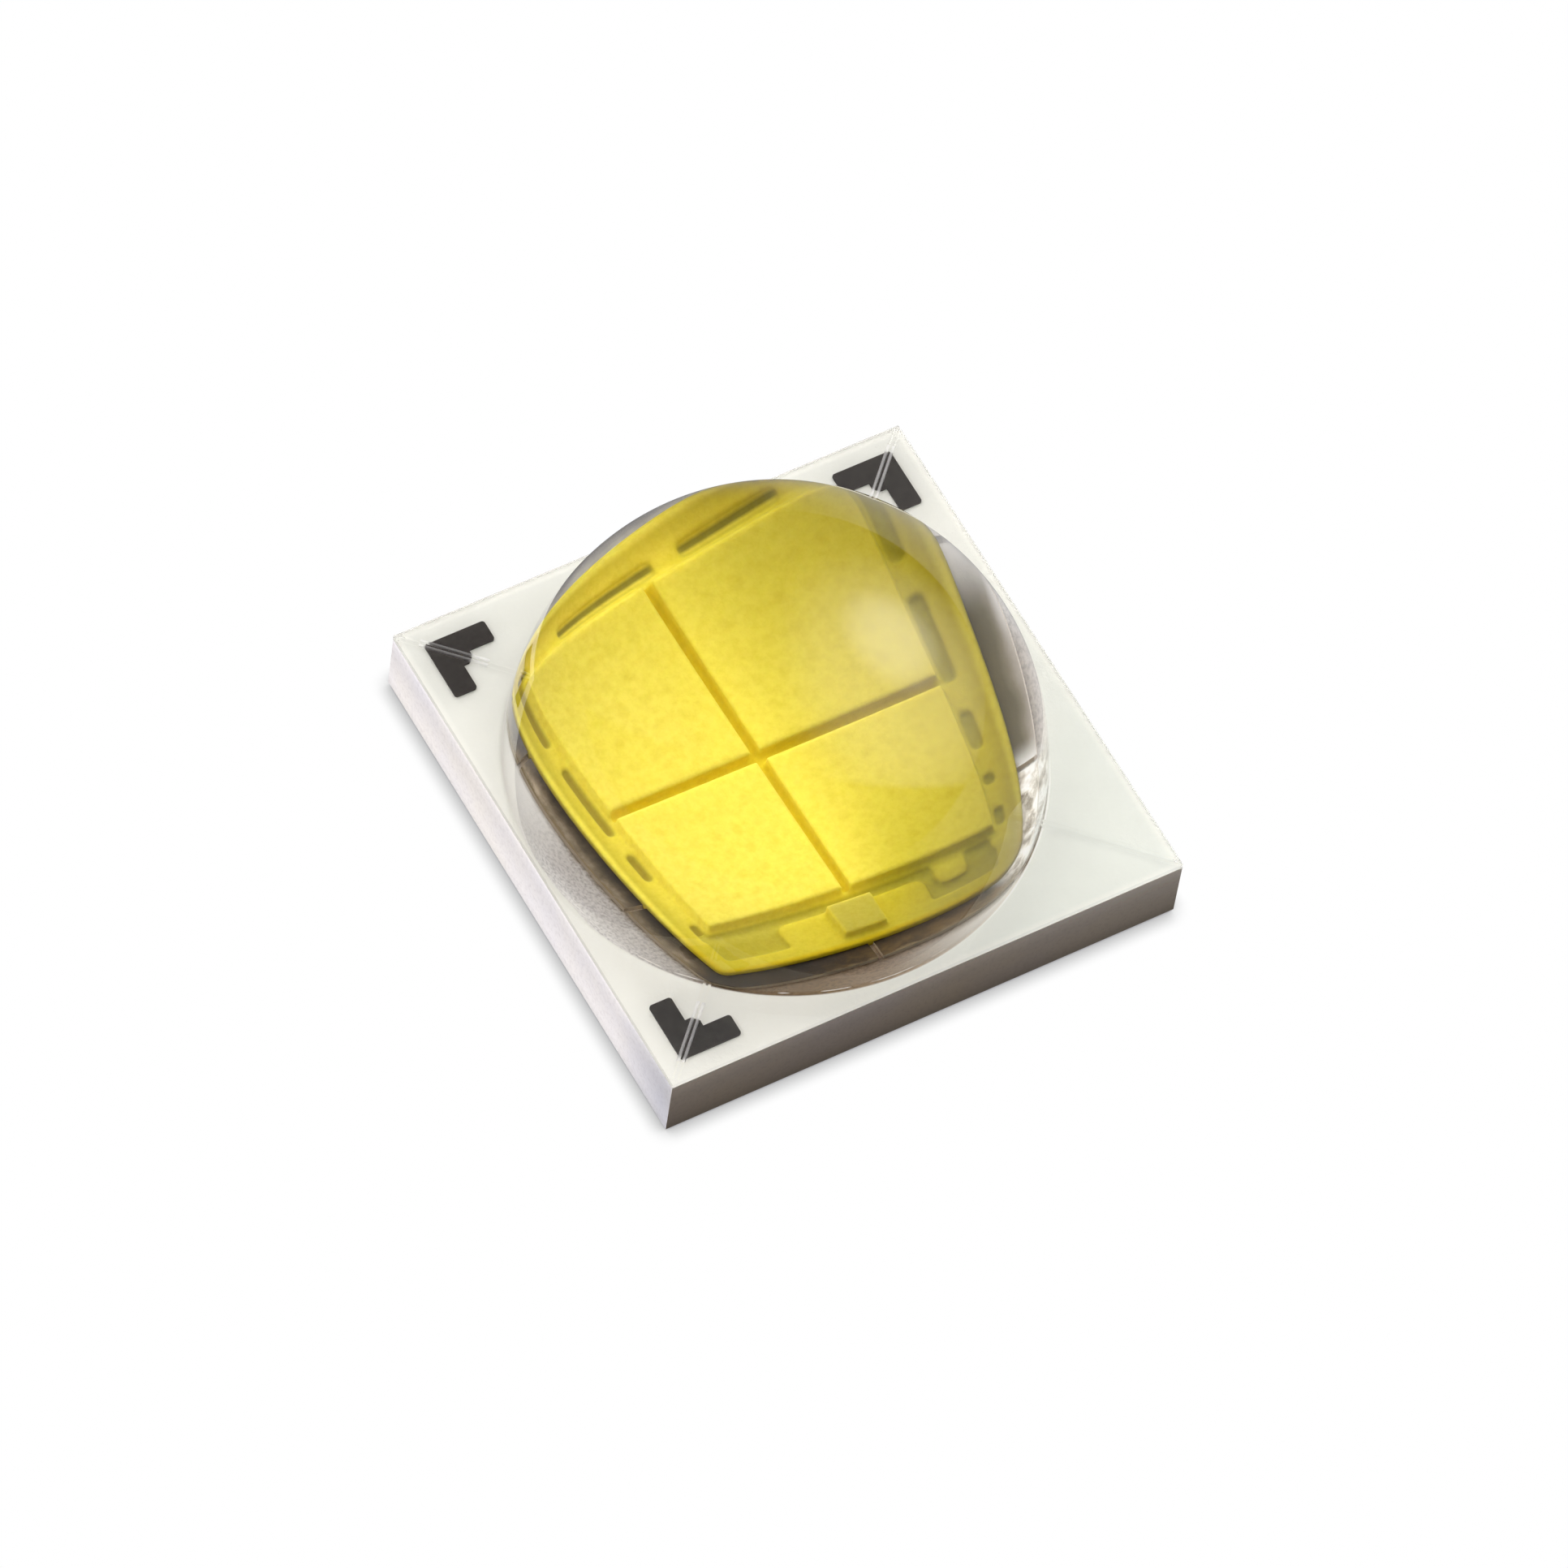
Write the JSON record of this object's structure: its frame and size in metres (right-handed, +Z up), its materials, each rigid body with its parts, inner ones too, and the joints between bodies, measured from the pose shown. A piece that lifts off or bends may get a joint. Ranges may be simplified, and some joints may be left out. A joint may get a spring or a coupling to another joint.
{
  "type": "led chip",
  "caption": "Square high-power light-emitting chip: dies under a phosphor film on a ceramic tile, with a moulded clear silicone dome and solder pads below.",
  "frame": {"origin": "middle of the underside, on the plane of the solder pads", "axes": "+Z up through the dome, square to the tile; +X along the front edge from the anode side to the cathode side; +Y from the guard chip's side to the back"},
  "size_m": [0.007, 0.007, 0.0046],
  "materials": {
    "ceramic": "fine matt, as fired and sawn",
    "pad_plating": "satin gold plating",
    "copper_fill": "copper, satin",
    "trace_plating": "plated, reads dark brown beside the phosphor",
    "bump_metal": "reflowed metal",
    "die_crystal": "polished crystal",
    "guard_silicon": "sawn silicon",
    "phosphor": "matt, powder in silicone",
    "mark_metal": "dark satin plating under the clear skin",
    "clear_silicone": "clear, glossy, moulded"
  },
  "bodies": {
    "root": {"ceramic_tile": "ceramic", "thermal_pad": "pad_plating", "anode_pad": "pad_plating", "cathode_pad": "pad_plating", "anode_fills": "copper_fill", "cathode_fills": "copper_fill", "anode_trace": "trace_plating", "link_trace_left": "trace_plating", "link_trace_back": "trace_plating", "link_trace_right": "trace_plating", "cathode_trace": "trace_plating", "bumps_front_left": "bump_metal", "bumps_back_left": "bump_metal", "bumps_back_right": "bump_metal", "bumps_front_right": "bump_metal", "guard_bumps": "bump_metal", "die_front_left": "die_crystal", "die_back_left": "die_crystal", "die_back_right": "die_crystal", "die_front_right": "die_crystal", "guard_chip": "guard_silicon", "phosphor_film": "phosphor", "mark_left": "mark_metal", "mark_front": "mark_metal", "mark_back": "mark_metal", "silicone_lens": "clear_silicone"}
  },
  "joints": []
}
